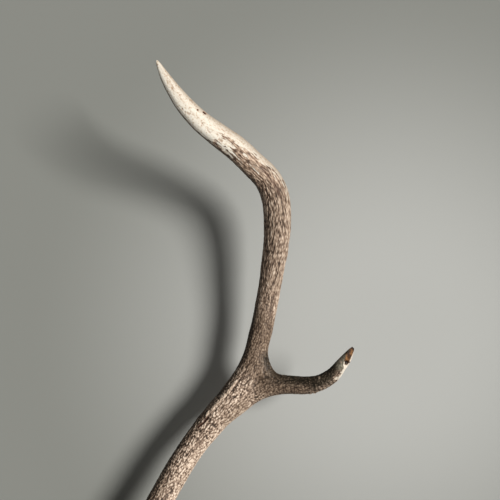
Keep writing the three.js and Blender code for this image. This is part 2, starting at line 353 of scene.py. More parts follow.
def coarse_skin():
    """One closed skin over the tubes and the burr's lumps, smoothed where they meet."""
    points, faces, total = [], [], 0
    parts = [tube(route) for route in (MAIN, SIDE, WEB)] + [burr_lump(index) for index in range(BURR_LUMPS)]
    for part_points, part_faces in parts:
        points.append(part_points)
        faces += [tuple(total + corner for corner in face) for face in part_faces]
        total += len(part_points)
    rough = new_object("skin", mesh_from("skin", np.vstack(points), faces))
    remesh = rough.modifiers.new("join", "REMESH")
    remesh.mode = "VOXEL"
    remesh.voxel_size = SKIN_STEP * MM
    mesh = evaluated(rough)
    edges = np.zeros(2 * len(mesh.edges), int)
    mesh.edges.foreach_get("vertices", edges)
    edges = edges.reshape(-1, 2)
    points = coordinates(mesh)
    points = relaxed(points, edges, np.ones(len(points)), SMOOTH_ROUNDS)
    at_fork = 1 - smooth_step(0.5, 1, np.linalg.norm(points - FORK_CENTRE, axis=1) / FORK_REACH)
    points = relaxed(points, edges, at_fork, FORK_SMOOTH_ROUNDS)
    mesh.vertices.foreach_set("co", (points * MM).ravel())
    mesh.update()
    return mesh


def fine_skin():
    """The coarse skin subdivided once."""
    made = new_object("skin", coarse_skin())
    made.modifiers.new("fine", "SUBSURF").levels = 1
    return evaluated(made)


# Half width and half length of a middling bump, as shares of the cell that it lies in
BUMP_REACH = (0.62, 0.8)


def bumps(along, turn, around, length, seed):
    """Height from 0 to 1 of long rounded bumps laid like bricks, so many in a ring and so long, each
    with its own place in its cell, lean and size."""
    across = turn / (2 * np.pi) * around
    forward = along / length
    wide, long = BUMP_REACH
    height = np.zeros_like(along)
    for row_step, column_step in itertools.product((-1, 0, 1), repeat=2):
        row = np.floor(forward) + row_step
        shift = 0.5 * np.mod(row, 2)
        column = np.floor(across - shift) + column_step
        cell = (row, np.mod(column, around))
        x = across - column - shift - 0.2 - 0.6 * scatter(*cell, seed)
        y = forward - row - 0.2 - 0.6 * scatter(*cell, seed + 1)
        lean = 0.9 * (scatter(*cell, seed + 2) - 0.5)
        size = 0.7 + 0.6 * scatter(*cell, seed + 3)
        reach = np.hypot((x + lean * y) / wide, y / long) / size
        height = np.maximum(height, 1 - reach**2)
    return height


def round_cloud(along, turn, spread, length, seed):
    """Smooth noise from 0 to 1 that closes round the antler."""
    return cloud(np.stack([spread * np.cos(turn), spread * np.sin(turn), along / length], axis=1), seed)


def furrows(along, turn, around, length, width, seed):
    """Depth from 0 to 1 of thin wandering furrows along the antler."""
    return 1 - smooth_step(0, width, np.abs(round_cloud(along, turn, around / np.pi, length, seed) - 0.5))


def window(value, low, high, soft):
    """1 between low and high, falling to 0 over soft on either side."""
    return smooth_step(low - soft, low, value) * (1 - smooth_step(high, high + soft, value))


# Bumps of each kind: how many in a ring, and how long
PEARLS = (38, 3.6)
STREAKS = (42, 7.5)
BURR_KNOBS = (17, 7)
SIDE_PEARLS = (26, 3.4)

# How far the skin stands up from the deepest groove, and the height that leaves it where it was
PEARL_HEIGHT = 0.9
STREAK_HEIGHT = 0.7
BURR_KNOB_HEIGHT = 2.6
SIDE_HEIGHT = 0.55
LEVEL = 0.55

# Furrows along the beam: how many in a ring, how long and wide, and how far they cut the bumps down
FURROWS = (16, 55, 0.06)
FURROW_CUT = 0.7

# Slow swelling of the beam, and how far the polish has worn bumps and swelling down
SWELL_LENGTH = 14
SWELL_HEIGHT = 0.9
POLISHED_BUMPS = 0.85
POLISHED_SWELL = 0.6

# Distances along the main beam: the burr, pearls giving way to streaks, and streaks to ivory
BURR_ALONG = MAIN.along[MAIN.station(MAIN_ROUTE, BURR_STATION)]
BURR_HALF_WIDTHS = (5, 10)
PEARLS_END = (400, 500)
IVORY_MIDDLE = 665
IVORY_OUTER_REACH = 102
IVORY_BLEND = 60
BLUSH_WIDTH = 52

# Ragged border of the ivory: spread, length and pull of its streaks and of its patches
IVORY_STREAKS = (8, 20)
IVORY_STREAK_PULL = 1.1
IVORY_PATCHES = (3, 12)
IVORY_PATCH_PULL = 0.8

# Stretch of the ivory with painted shade along its lower edge, and stretch of the bend that is darker
PAINTED_SHADE_EDGE = (604, 765)
BEND_SHADE = (470, 590)
SHADE_FADE = 40

# Sides of the main beam, from -1 on its left to 1 on its right: where each share starts and is full
IVORY_SIDE = (0.05, 1.05)
BLUSH_SIDE = (0.9, 0.1)
# Painted shade on the left, turned from the key: along the ivory's lower edge, and in olive on the lower
# beam
PAINTED_SHADE_EDGE_SIDE = (-0.8, -0.97)
OLIVE_PAINTED_SHADE_SIDE = (-0.5, -0.9)
# Painted light on the right, the side lit by the key, with some wear; painted fill on the ivory's shaded
# left and painted dimming of its lit right edge
WEAR_AND_PAINTED_LIGHT_SIDE = (0.25, 0.9)
PAINTED_FILL_SIDE = (0.2, -0.5)
PAINTED_DIMMING_SIDE = (0.45, 1.0)

# Strength of the broad colours, some of them painted light and shade, and how far streaks lessen the wear
# and painted light
PAINTED_SHADE_EDGE_SHARE = 0.8
OLIVE_PAINTED_SHADE_SHARE = 0.6
BEND_SHADE_SHARE = 0.3
SIDE_SHADE_SHARE = 0.2
SIDE_TINE_WHITER_IVORY_SHARE = 0.45
STREAKED_WEAR_AND_LIGHT_LOSS = 0.35

# Marks on the side that faces the viewer: strength, half width, and a line of (x, z) points or one point
MARKS = {
    "stain": [
        (0.55, 1.2, [(104.4, 596.6)]),
        (0.55, 1.5, [(107.6, 594.9), (109.4, 594.4)]),
        (0.4, 1.1, [(112.3, 593.6)]),
        (1.0, 1.5, [(118.7, 599.4)]),
        (1.0, 1.5, [(125.2, 597.3), (127.1, 595.8)]),
        (0.75, 1.2, [(98.5, 615.2)]),
        (0.5, 1.2, [(89.8, 622.3)]),
        (0.9, 1.0, [(101, 600)]),
        (0.7, 1.0, [(123.6, 584.4)]),
        (0.6, 1.0, [(122.8, 581.8)]),
        (0.5, 0.9, [(129.3, 580), (129.9, 576.4), (132.5, 573.8)]),
        (0.35, 1.2, [(83.5, 636.6)]),
        (0.6, 1.3, [(73.2, 649)]),
        (0.35, 1.2, [(146.4, 578.7)]),
        (0.6, 1.4, [(137.2, 565.9), (139.1, 564.5)]),
        (0.6, 1.4, [(142.9, 566.8), (145.5, 564.6)]),
    ],
    # Crack and grooves: sunk into the skin and painted dark as shade
    "crack": [(1.0, 1.6, [(114.9, 225.6), (120.7, 230.2), (126.5, 237)])],
    "groove": [
        (0.75, 1.3, [(191.4, 536.8), (200.4, 525.4), (208.1, 515.3), (214.5, 501.3)]),
        (0.5, 1.2, [(186.3, 521.6), (195.3, 511.4), (203, 500)]),
    ],
    "ridge": [(0.9, 1.8, [(125.5, 239.5), (135.7, 251), (146.2, 262.4), (153.1, 269.7), (160.1, 279.9)])],
    "pale": [
        (0.4, 3.2, [(180, 544.2), (196.4, 524.1)]),
        (0.8, 0.9, [(284.1, 310.4), (286.3, 306.2)]),
        # Painted highlight: a white glint on the side tine's upper edge
        (1.0, 1.5, [(261.2, 287.1)]),
        (0.5, 1.3, [(213.8, 505), (214, 479)]),
        (0.5, 1.3, [(169.5, 295.5), (171.5, 300.5)]),
    ],
    "fork": [(0.9, 28, [(188, 345), (187, 310), (198, 286), (232, 278)])],
    "shade": [
        (0.5, 7, [(206.8, 483), (208, 442)]),
        (0.5, 9, [(60, 137), (74, 160)]),
        (0.5, 9, [(170, 250), (150, 228)]),
    ],
    # Strips painted paler on the lit right of the lower beam: painted light with some wear
    "wear_and_painted_light": [
        (0.9, 9, [(121, 204), (91, 157)]),
        (0.8, 8, [(151, 255), (138, 238)]),
    ],
    "olive": [(0.85, 13, [(203, 306), (210, 292), (230, 286)])],
}
MARK_EDGE = (0.4, 1.25)
FACING = (0.3, 0.0)

# How far marks raise the skin, what the ridge adds to height and light, and how far the fork is calmed
MARK_RELIEF = {"ridge": 0.9, "stain": -0.5, "crack": -1.2, "groove": -0.8}
RIDGE_CREST = 0.5
RIDGE_LIGHT = 0.7
FORK_CALM = 0.5


def mark(points, facing, strength, half_width, line):
    """Strength near a line of (x, z) points, on the side that faces the viewer."""
    flat = points[:, [0, 2]]
    line = np.array(line, float)
    apart = np.linalg.norm(flat - line[0], axis=1)
    for start, end in zip(line[:-1], line[1:]):
        span = end - start
        share = np.clip((flat - start) @ span / (span @ span), 0, 1)
        apart = np.minimum(apart, np.linalg.norm(flat - start - share[:, None] * span, axis=1))
    return strength * facing * (1 - smooth_step(*MARK_EDGE, apart / half_width))


def strongest(points, facing, entries):
    """The strongest of several marks at each point."""
    return np.max([mark(points, facing, *entry) for entry in entries], axis=0)


def ivory_share(along, turn, height):
    """How far the polish has gone, further down on the outer side, and the blush round its border."""
    streak = round_cloud(along, turn, *IVORY_STREAKS, seed=31) - 0.5
    patch = round_cloud(along, turn, *IVORY_PATCHES, seed=32) - 0.5
    outward = np.sin(turn)
    start = IVORY_MIDDLE - IVORY_OUTER_REACH * smooth_step(*IVORY_SIDE, outward)
    reach = (along - start) / IVORY_BLEND + IVORY_STREAK_PULL * streak + IVORY_PATCH_PULL * patch
    blush = smooth_step(-0.5, 0.5, reach + BLUSH_WIDTH / IVORY_BLEND * smooth_step(*BLUSH_SIDE, outward))
    return smooth_step(-0.4, 0.4, reach + 0.4 * (height - 0.6)), blush


def main_surface(points, along, turn):
    """The main beam's relief, its height from groove to crest, and its shares of colour."""
    outward = np.sin(turn)
    streaked = smooth_step(*PEARLS_END, along)
    pearls = bumps(along, turn, *PEARLS, seed=1)
    streaks = bumps(along, turn, *STREAKS, seed=11)
    grooves = furrows(along, turn, *FURROWS, seed=21)
    height = (pearls * (1 - streaked) + streaks * streaked) * (1 - FURROW_CUT * grooves)
    ivory, blush = ivory_share(along, turn, height)
    stand = (PEARL_HEIGHT * (1 - streaked) + STREAK_HEIGHT * streaked) * (1 - POLISHED_BUMPS * ivory)
    swell = SWELL_HEIGHT * (1 - POLISHED_SWELL * ivory) * (cloud(points / SWELL_LENGTH, 41) - 0.5)
    crown = 1 - smooth_step(*BURR_HALF_WIDTHS, np.abs(along - BURR_ALONG))
    knobs = BURR_KNOB_HEIGHT * crown * bumps(along, turn, *BURR_KNOBS, seed=71)
    # Painted shade: a dark band along the ivory's lower edge, the side turned from the key, carried in the
    # olive share
    painted_edge_shade = smooth_step(*PAINTED_SHADE_EDGE_SIDE, outward) * window(along, *PAINTED_SHADE_EDGE, SHADE_FADE)
    painted_edge_shade = PAINTED_SHADE_EDGE_SHARE * painted_edge_shade
    # Painted shade: olive on the lower beam's left side, turned from the key
    olive = OLIVE_PAINTED_SHADE_SHARE * smooth_step(*OLIVE_PAINTED_SHADE_SIDE, outward) * (1 - streaked)
    return {
        "relief": stand * (height - LEVEL) + swell + knobs,
        "height": height,
        "ivory": ivory * (1 - painted_edge_shade),
        "olive": np.maximum(olive, painted_edge_shade),
        "streaked": streaked,
        # Painted light: the lit right side is made paler, with some wear
        "wear_and_painted_light": smooth_step(*WEAR_AND_PAINTED_LIGHT_SIDE, outward) * (1 - STREAKED_WEAR_AND_LIGHT_LOSS * streaked),
        "blush": blush * (1 - painted_edge_shade),
    }


# Side tine, in distances along it: start and olive, ribs across it, polished stretch and tip
SIDE_START = (25, 60)
SIDE_OLIVE_START = (58, 106)
RIBS = (134, 158)
RIB_FADE = 4
RIB_STEP = 4.6
RIB_LEAN = 3
RIB_SHARE = 0.45
POLISH = (164, 192)
POLISH_FADE = 6
SMOOTH_TIP = (160, 178)
GREY_TIP = (170, 179)

# Sides of the side tine, from -1 above to 1 below: where shares start and are full, and the olive's edge
POLISH_SIDE = (0.3, 0.75)
RIB_SIDE = (-0.3, 0.1)
SIDE_OLIVE_EDGE = -0.05
SIDE_OLIVE_BLEND = 0.6
RIB_OLIVE_SHIFT = 0.6

# Ragged borders on the side tine: size of the rags, and how far they reach along it
RAG_SIZE = 4
RAG_LENGTH = 8

# Nubs on the side tine: distance along it and turn round it, and the tine's radius there
NUBS = [(126, 1.45), (131.5, 1.4), (138, -1.2)]
NUB_RADIUS = 1.7
NUB_HEIGHT = 1.3
NUB_RING_RADIUS = 10


def side_surface(points, along, turn):
    """The side tine's relief, its height from groove to crest, and its shares of colour."""
    lower = np.sin(turn)
    smooth = smooth_step(*SMOOTH_TIP, along)
    ragged = 0.5 * (cloud(points / RAG_SIZE, 52) - 0.5)
    polished = window(along + RAG_LENGTH * ragged, *POLISH, POLISH_FADE)
    ivory = polished * smooth_step(*POLISH_SIDE, lower + ragged)
    pearls = bumps(along, turn, *SIDE_PEARLS, seed=51)
    ribs = 0.5 + 0.5 * np.cos(2 * np.pi * (along + RIB_LEAN * lower) / RIB_STEP)
    ribbed = window(along, *RIBS, RIB_FADE) * smooth_step(*RIB_SIDE, lower)
    height = pearls * (1 - ribbed) + ((1 - RIB_SHARE) * pearls + RIB_SHARE * ribs) * ribbed
    relief = SIDE_HEIGHT * (1 - 0.9 * smooth) * (height - LEVEL)
    for nub_along, nub_turn in NUBS:
        apart = np.hypot(along - nub_along, NUB_RING_RADIUS * (turn - nub_turn))
        relief = relief + NUB_HEIGHT * np.exp(-((apart / NUB_RADIUS) ** 2))
    edge = SIDE_OLIVE_EDGE + RIB_OLIVE_SHIFT * window(along, *RIBS, 2 * RIB_FADE)
    olive = smooth_step(edge + SIDE_OLIVE_BLEND, edge - SIDE_OLIVE_BLEND, lower + ragged)
    return {
        "relief": relief,
        "height": height * (1 - 0.6 * smooth),
        "ivory": ivory,
        "olive": olive * (1 - ivory) * smooth_step(*SIDE_OLIVE_START, along),
    }


def side_weight(main_reach, side_reach, side_along):
    """1 on the side tine, 0 on the main beam, and in between round the fork."""
    nearer = smooth_step(-0.25, 0.25, main_reach - side_reach)
    return nearer * smooth_step(*SIDE_START, side_along)


def break_face(points):
    """Points beyond the broken face pressed onto it with the pit sunk in, and the shares of both."""
    normal = unit(BREAK_NORMAL)
    beyond = (points - BREAK_POINT) @ normal
    near = np.linalg.norm(points - BREAK_POINT, axis=1) < BREAK_REACH
    face = near * smooth_step(*BREAK_EDGE, beyond)
    rough = BREAK_ROUGHNESS * (cloud(points / BREAK_GRAIN, 61) - 0.5)
    pressed = points - (near * np.maximum(beyond - rough * face, 0))[:, None] * normal
    dent = 1 - smooth_step(*PIT_RADII, np.linalg.norm(pressed - BREAK_PIT, axis=1))
    pressed = pressed - (PIT_DEPTH * dent)[:, None] * normal
    return pressed, face, dent


def amber_share(points, face):
    """Amber of the broken face, from a round end below the pit to the tip, without the pale rim."""
    from_pit = points - BREAK_PIT
    lead = from_pit @ BREAK_AXIS
    sideways = np.linalg.norm(from_pit - lead[:, None] * BREAK_AXIS, axis=1)
    round_end = smooth_step(*AMBER_END, np.hypot(lead, sideways))
    return (face - mark(points, face, *BREAK_RIM)) * np.where(lead > 0, 1, round_end)


def store(mesh, kind, key, fields):
    """Keeps values at the mesh's points, for the material."""
    for name, values in fields.items():
        layer = mesh.attributes.new(name, kind, "POINT")
        layer.data.foreach_set(key, values.astype(np.float32).ravel())


def shape_antler(mesh):
    """Raises the relief on the skin and stores what the material needs at each point."""
    points = coordinates(mesh)
    normals = at_vertices(mesh, "normal")
    facing = smooth_step(*FACING, normals[:, 1])
    main_along, main_front, main_right, main_reach = MAIN.place(points)
    side_along, side_front, side_right, side_reach = SIDE.place(points)
    side = side_weight(main_reach, side_reach, side_along)
    on_main = main_surface(points, main_along, np.arctan2(main_right, main_front))
    on_side = side_surface(points, side_along, np.arctan2(side_right, side_front))
    skin = {key: on_main[key] * (1 - side) + on_side[key] * side for key in on_side}
    marks = {name: strongest(points, facing, entries) for name, entries in MARKS.items()}
    outward = main_right / np.hypot(main_right, main_front)
    fork_shade = marks["fork"] * (1 - marks["ridge"])
    bend_shade = BEND_SHADE_SHARE * window(main_along, *BEND_SHADE, SHADE_FADE) * (1 - side)
    relief = skin["relief"] * (1 - FORK_CALM * fork_shade)
    for name, height in MARK_RELIEF.items():
        relief = relief + height * marks[name]
    points, face, dent = break_face(points + relief[:, None] * normals)
    mesh.vertices.foreach_set("co", (points * MM).ravel())
    amber = amber_share(points, face)
    ivory = np.maximum(skin["ivory"], face - amber)
    fields = {
        "height": np.clip(skin["height"] + RIDGE_CREST * marks["ridge"], 0, 1),
        "ivory": ivory,
        # Olive on the side tine's top and in the crotch, and painted shade on the beam's left side and the
        # ivory's lower edge
        "olive": np.clip(np.maximum(skin["olive"], marks["olive"]) - marks["ridge"], 0, 1),
        "streaked": on_main["streaked"],
        "on_side": side,
        "shade": np.maximum.reduce([fork_shade, bend_shade, marks["shade"], SIDE_SHADE_SHARE * side]),
        "light": np.maximum(RIDGE_LIGHT * marks["ridge"], marks["pale"]),
        # Painted light on the beam's lit right side, with some wear, kept off the side tine and the fork
        "wear_and_painted_light": np.maximum(on_main["wear_and_painted_light"], marks["wear_and_painted_light"]) * (1 - side) * (1 - fork_shade),
        "blush": on_main["blush"] * (1 - side),
        # Painted fill: the beam's shaded left side is made whiter; the side tine's ivory is whiter
        # throughout
        "whiter_ivory_and_painted_fill": smooth_step(*PAINTED_FILL_SIDE, outward) * (1 - side) + SIDE_TINE_WHITER_IVORY_SHARE * side,
        # Painted dimming: the ivory's lit right edge is made darker against the key
        "rim": smooth_step(*PAINTED_DIMMING_SIDE, outward) * (1 - side),
        "stain": marks["stain"],
        # Painted shade in the crack and the bend's grooves
        "groove": np.maximum(marks["crack"], marks["groove"]),
        "amber": np.maximum(amber, mark(points, facing, *TIP_BROWN)),
        # Painted shade: near-black in the pit's hollow
        "pit": dent * facing,
        "tip": side * smooth_step(*GREY_TIP, side_along) * (1 - ivory),
    }
    places = {
        "main_place": np.stack([main_front, main_right, main_along], axis=1),
        "side_place": np.stack([side_front, side_right, side_along], axis=1),
    }
    store(mesh, "FLOAT", "value", fields)
    store(mesh, "FLOAT_VECTOR", "vector", places)
    mesh.update()


def cut_across(made, route, stations, number):
    """Cuts the antler's mesh in two across a route at a station."""
    at = route.station(stations, number)
    point = Vector(route.centre[at] * MM)
    normal = Vector(route.forward[at])
    reach = 2 * route.radius[at] * MM
    near = [face for face in made.faces if (face.verts[0].co - point).length < reach]
    around = {edge for face in near for edge in face.edges}
    corners = {vertex for face in near for vertex in face.verts}
    cut = bmesh.ops.bisect_plane(
        made, geom=[*corners, *around, *near], plane_co=point, plane_no=normal, dist=1e-5
    )
    line = [part for part in cut["geom_cut"] if isinstance(part, bmesh.types.BMEdge)]
    bmesh.ops.split_edges(made, edges=line)


def cap_holes(made):
    """Closes each open end with one flat face, with a sharp edge round it."""
    rim = [edge for edge in made.edges if edge.is_boundary]
    bmesh.ops.holes_fill(made, edges=rim, sides=0)
    for edge in rim:
        edge.smooth = False


def antler_pieces(material):
    """The antler's skin, cut where the CAD model is cut, as one closed piece for each CAD node."""
    mesh = fine_skin()
    shape_antler(mesh)
    whole = bmesh.new()
    whole.from_mesh(mesh)
    everything = [*whole.verts, *whole.edges, *whole.faces]
    foot = Vector((0, FOOT_PLANE * MM, 0))
    bmesh.ops.bisect_plane(whole, geom=everything, plane_co=foot, plane_no=(0, 1, 0), clear_outer=True)
    cut_across(whole, MAIN, MAIN_ROUTE, FORK_STATION)
    cut_across(whole, SIDE, SIDE_ROUTE, SIDE_CUT_STATION)
    whole.to_mesh(mesh)
    whole.free()
    mesh.materials.append(material)
    mesh.polygons.foreach_set("use_smooth", np.ones(len(mesh.polygons), bool))
    skin = new_object("antler", mesh)
    bpy.ops.object.select_all(action="DESELECT")
    bpy.context.view_layer.objects.active = skin
    skin.select_set(True)
    bpy.ops.mesh.separate(type="LOOSE")
    parts = sorted(bpy.context.selected_objects, key=lambda part: len(part.data.vertices))
    slivers, parts = parts[:-len(ANTLER_NODES)], parts[-len(ANTLER_NODES):]
    for sliver in slivers:
        bpy.data.objects.remove(sliver)
    for part in parts:
        shell = bmesh.new()
        shell.from_mesh(part.data)
        cap_holes(shell)
        shell.to_mesh(part.data)
        shell.free()
    return parts


def node_box(node):
    """A CAD node's lowest and highest corners in millimetres."""
    low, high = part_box(node)
    return np.array(low) / MM, np.array(high) / MM


def name_of(part):
    """The CAD node that an antler piece stands for, by where its middle is."""
    middle = coordinates(part.data).mean(axis=0)
    return min(ANTLER_NODES, key=lambda node: np.linalg.norm(sum(node_box(node)) / 2 - middle))


# Wooden shield: its outline, and the points along each of the outline's sides
SHIELD_HALF_WIDTH = 85
SHIELD_TOP = 100
SHIELD_BOTTOM = -130
SHIELD_SHOULDER = 64
SHIELD_SCOOP = 24
SHIELD_WAIST = -20
SHIELD_ARCH = 8
SHIELD_FOOT_SPREAD = 0.45
SHIELD_FOOT_RISE = 16
SHIELD_FLANK_RISE = 52
SHIELD_THICKNESS = 20
SHIELD_SIDE_POINTS = 44

# Moulded edge of the shield, as distances in from the outline and depths from the back
EASED_BACK = [(1, 0), (0.3, 0.3), (0, 1)]
STEP = (0, 11)
ROUND_START = (1.2, 11.6)
ROUND_SIZE = (6.8, 7.4)
ROUND_POINTS = 9
FILLET = [(9.2, 19.1), (9.8, SHIELD_THICKNESS)]
CRISP_ANGLE = 32

# Recesses in the shield's back
CLEARANCE = 0.3
RECESS_SIDES = 32
POCKET_HALF_WIDTH = 6.8
POCKET_HALF_HEIGHT = 15
POCKET_DEPTH = 12
COUNTERBORE_RADIUS = 7
COUNTERBORE_DEPTH = 9
SCREW_HOLE_RADIUS = 2.8
PILOT_RADIUS = 1.8


def bezier(*controls, count=60):
    """Points on a Bezier curve."""
    t = np.linspace(0, 1, count)[:, None]
    rows = [np.tile(np.array(point, float), (count, 1)) for point in controls]
    while len(rows) > 1:
        rows = [first + t * (second - first) for first, second in zip(rows, rows[1:])]
    return rows[0]


def shield_sides():
    """The outline's smooth sides, round from the pointed foot: right flank, scooped corner, low arched
    top, left corner and left flank."""
    wide = SHIELD_HALF_WIDTH
    ear = wide - SHIELD_SCOOP
    ear_top = SHIELD_TOP - SHIELD_ARCH
    foot_pull = (SHIELD_FOOT_SPREAD * wide, SHIELD_BOTTOM + SHIELD_FOOT_RISE)
    flank_pull = (wide, SHIELD_BOTTOM + SHIELD_FLANK_RISE)
    lower = bezier((0, SHIELD_BOTTOM), foot_pull, flank_pull, (wide, SHIELD_WAIST))
    upper = bezier((wide, SHIELD_WAIST), (wide, SHIELD_SHOULDER))
    flank = np.vstack([lower[:-1], upper])
    scoop = bezier((wide, SHIELD_SHOULDER), (ear, SHIELD_SHOULDER), (ear, ear_top))
    arch = bezier((ear, ear_top), (0, SHIELD_TOP + SHIELD_ARCH), (-ear, ear_top))
    mirrored = [side[::-1] * (-1, 1) for side in (scoop, flank)]
    return [flank, scoop, arch, *mirrored]


def moved_in(side, distance):
    """A side moved in by a distance, and lengthened a little at both ends."""
    heading = unit(np.gradient(side, axis=0))
    moved = side + distance * np.stack([-heading[:, 1], heading[:, 0]], axis=1)
    return np.vstack([moved[0] - heading[0], moved, moved[-1] + heading[-1]])


def turn_between(first, second):
    return first[..., 0] * second[..., 1] - first[..., 1] * second[..., 0]


def meeting(first, second):
    """Where two runs of points cross: the step in each, and the point."""
    first_steps = np.diff(first, axis=0)[:, None]
    second_steps = np.diff(second, axis=0)[None]
    gap = second[None, :-1] - first[:-1, None]
    with np.errstate(divide="ignore", invalid="ignore"):
        on_first = turn_between(gap, second_steps) / turn_between(first_steps, second_steps)
        on_second = turn_between(gap, first_steps) / turn_between(first_steps, second_steps)
    crossed = (np.abs(on_first - 0.5) <= 0.5) & (np.abs(on_second - 0.5) <= 0.5)
    row, column = np.argwhere(crossed)[0]
    return row, column, first[row] + on_first[row, column] * first_steps[row, 0]


def evenly(run, count):
    """So many points spaced evenly along a run of points, without its last one."""
    reached = np.concatenate([[0], np.cumsum(np.linalg.norm(np.diff(run, axis=0), axis=1))])
    wanted = np.linspace(0, reached[-1], count, endpoint=False)
    return np.stack([np.interp(wanted, reached, values) for values in run.T], axis=1)


def shield_ring(distance):
    """The outline drawn in by a distance, its sides trimmed where they meet."""
    sides = [moved_in(side, distance) for side in shield_sides()]
    corners = [meeting(side, following) for side, following in zip(sides, sides[1:] + sides[:1])]
    ring = []
    for index, side in enumerate(sides):
        _, first, start = corners[index - 1]
        last, _, end = corners[index]
        ring.append(evenly(np.vstack([start, side[first + 1:last + 1], end]), SHIELD_SIDE_POINTS))
    return np.vstack(ring)


def lofted(name, rings):
    """A closed mesh through rings of (x, z) points, each at its y, from the back to the front."""
    points = [np.insert(ring, 1, y, axis=1) for y, ring in rings]
    return mesh_from(name, np.vstack(points), ring_faces(len(rings), len(points[0])))


def shield_edge():
    """Distances in and depths of the moulded edge, from the back to the front."""
    turns = np.radians(np.linspace(0, 90, ROUND_POINTS))
    start, depth = ROUND_START
    width, height = ROUND_SIZE
    quarter = [(start + width * (1 - math.cos(turn)), depth + height * math.sin(turn)) for turn in turns]
    return [*EASED_BACK, STEP, *quarter, *FILLET]


def round_ended(half_width, half_height, centre_z):
    """Upright outline with round ends."""
    turns = np.linspace(0, 2 * np.pi, RECESS_SIDES, endpoint=False)
    ends = np.where(turns < np.pi, 1, -1) * (half_height - half_width)
    return np.stack([half_width * np.cos(turns), centre_z + ends + half_width * np.sin(turns)], axis=1)


def recess(outline, depth):
    """A cutter that reaches a depth into the shield's back."""
    over = 2
    return new_object("cutter", lofted("cutter", [(over, outline), (-depth, outline)]))


def shield_recesses():
    """Cutters for the hanger plate, the wall screw's head, the antler's screw and the plate's screws."""
    low, high = node_box("hanger_plate")
    half_width, _, half_height = (high - low) / 2 + CLEARANCE
    plate_z = (low[2] + high[2]) / 2
    screw_low, screw_high = node_box("antler_screw")
    screw_x, _, screw_z = (screw_low + screw_high) / 2
    shift = (screw_x, 0)
    cutters = [
        recess(round_ended(half_width, half_height, plate_z), CLEARANCE - low[1]),
        recess(round_ended(POCKET_HALF_WIDTH, POCKET_HALF_HEIGHT, plate_z), POCKET_DEPTH),
        recess(round_ended(COUNTERBORE_RADIUS, COUNTERBORE_RADIUS, screw_z) + shift, COUNTERBORE_DEPTH),
        recess(round_ended(SCREW_HOLE_RADIUS, SCREW_HOLE_RADIUS, screw_z) + shift, 2 * SHIELD_THICKNESS),
    ]
    for node in ("hanger_screw_upper", "hanger_screw_lower"):
        low, high = node_box(node)
        outline = round_ended(PILOT_RADIUS, PILOT_RADIUS, (low[2] + high[2]) / 2)
        cutters.append(recess(outline, CLEARANCE - low[1]))
    return cutters


def soften(mesh, limit):
    """Smooth shading, with edges sharper than the limit left crisp."""
    shell = bmesh.new()
    shell.from_mesh(mesh)
    for face in shell.faces:
        face.smooth = True
    for edge in shell.edges:
        edge.smooth = edge.calc_face_angle(math.pi) < limit
    shell.to_mesh(mesh)
    shell.free()


def build_shield(material):
    rings = [(-depth, shield_ring(distance)) for distance, depth in shield_edge()]
    blank = new_object("shield", lofted("shield", rings))
    cutters = shield_recesses()
    for cutter in cutters:
        cutting = blank.modifiers.new("recess", "BOOLEAN")
        cutting.operation = "DIFFERENCE"
        cutting.object = cutter
    mesh = evaluated(blank)
    for cutter in cutters:
        bpy.data.objects.remove(cutter)
    soften(mesh, math.radians(CRISP_ANGLE))
    mesh.materials.clear()
    mesh.materials.append(material)
    shield = new_object("wooden_shield", mesh)
    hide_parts("plaque")
    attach(shield, "root")


# Colour ramps of the antler, as (place, colour) stops
BROWN = [
    (0.22, (0.036, 0.024, 0.016)),
    (0.38, (0.092, 0.062, 0.044)),
    (0.51, (0.205, 0.143, 0.105)),
    (0.62, (0.420, 0.320, 0.245)),
    (0.76, (0.660, 0.550, 0.450)),
]
OLIVE = [
    (0.20, (0.012, 0.009, 0.005)),
    (0.45, (0.029, 0.022, 0.013)),
    (0.66, (0.063, 0.049, 0.033)),
    (0.84, (0.230, 0.170, 0.125)),
]
BLUSH = [(0.28, (0.095, 0.060, 0.041)), (0.46, (0.225, 0.150, 0.104)), (0.66, (0.42, 0.305, 0.220))]
IVORY = [
    (0.27, (0.27, 0.19, 0.14)),
    (0.36, (0.46, 0.37, 0.29)),
    (0.46, (0.50, 0.443, 0.372)),
    (0.70, (0.56, 0.52, 0.448)),
]
AMBER = [(0.38, (0.018, 0.009, 0.005)), (0.53, (0.070, 0.031, 0.012)), (0.70, (0.200, 0.097, 0.036))]
GREY = [(0.38, (0.10, 0.09, 0.065)), (0.62, (0.27, 0.245, 0.19))]
STAIN = [(0.45, (0.30, 0.145, 0.075)), (0.85, (0.045, 0.018, 0.011))]
SPECKS = [(0.33, (0.72, 0.64, 0.56)), (0.47, (1, 1, 1))]
PATCHES = [(0.32, (0.80, 0.78, 0.76)), (0.62, (1, 1, 1))]

# Single colours of the antler
WHITER_IVORY_AND_PAINTED_FILL = (0.82, 0.78, 0.693)
PAINTED_DIMMING_IVORY = (0.34, 0.28, 0.22)
PALE_BONE = (0.50, 0.39, 0.30)
SHADE = (0.46, 0.43, 0.39)
PAINTED_GROOVE_SHADE = (0.050, 0.020, 0.012)
PAINTED_PIT_SHADE = (0.010, 0.006, 0.004)

# Colours of the wood, the steel, the floor and the wall
WOOD = [(0.3, (0.050, 0.022, 0.010)), (0.55, (0.120, 0.055, 0.024)), (0.75, (0.190, 0.095, 0.042))]
PORES = [(0.40, (0.35, 0.35, 0.35)), (0.52, (1, 1, 1))]
STEEL = [(0.3, (0.42, 0.42, 0.41)), (0.7, (0.60, 0.60, 0.58))]
FLOOR = [(0.3, (0.70, 0.70, 0.68)), (0.7, (0.73, 0.73, 0.71))]
# The wall's colour in and outside its painted pool of light
WALL_IN_PAINTED_POOL = (0.318, 0.323, 0.314)
WALL_OUTSIDE_PAINTED_POOL = (0.157, 0.162, 0.150)


